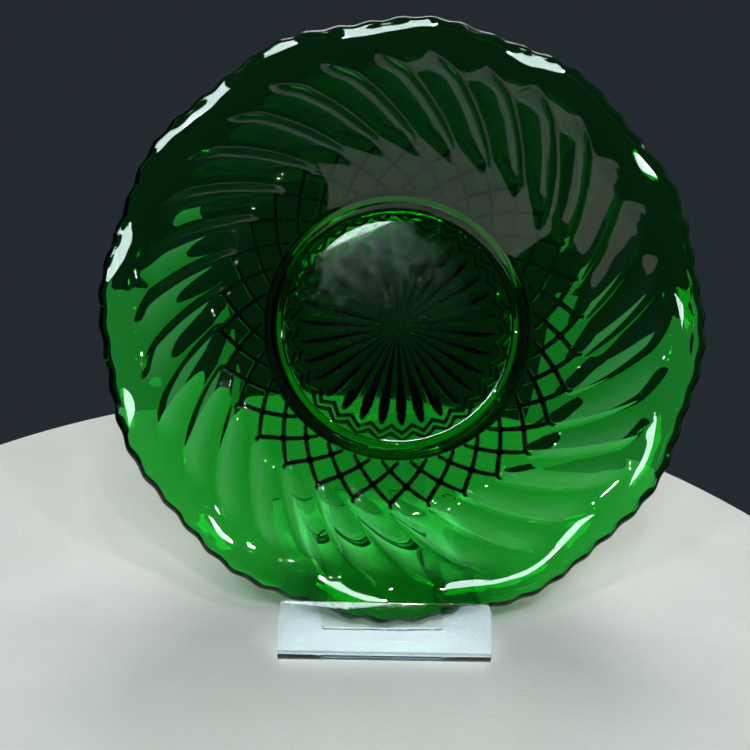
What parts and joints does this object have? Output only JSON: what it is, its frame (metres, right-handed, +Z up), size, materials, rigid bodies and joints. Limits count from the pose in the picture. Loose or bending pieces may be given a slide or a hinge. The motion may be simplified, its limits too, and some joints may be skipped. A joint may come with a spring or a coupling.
{
  "type": "pressed glass bowl on display stand",
  "caption": "Round swirled pressed-glass bowl with a cut star base, leaning back in a small bent clear acrylic display stand from which it lifts out.",
  "frame": {"origin": "centre of the whole object's bounding box in plan, on the table that the stand stands on", "axes": "+Z up, the bowl opens towards -Y and leans back towards +Y by 25 degrees, X runs along the stand's front lip"},
  "size_m": [0.2416, 0.1428, 0.2227],
  "materials": {
    "green_glass": "deep emerald green transparent pressed glass, fire-polished, with fine wear scratches in the well",
    "clear_acrylic": "clear cast acrylic sheet with polished edges"
  },
  "bodies": {
    "stand": {"display_stand": "clear_acrylic"},
    "bowl": {"glass_bowl": "green_glass"}
  },
  "joints": [
    {"name": "bowl_lift", "type": "slide", "parent": "stand", "child": "bowl", "axis": [0, 0, 1], "range_m": [0, 0.15]}
  ]
}
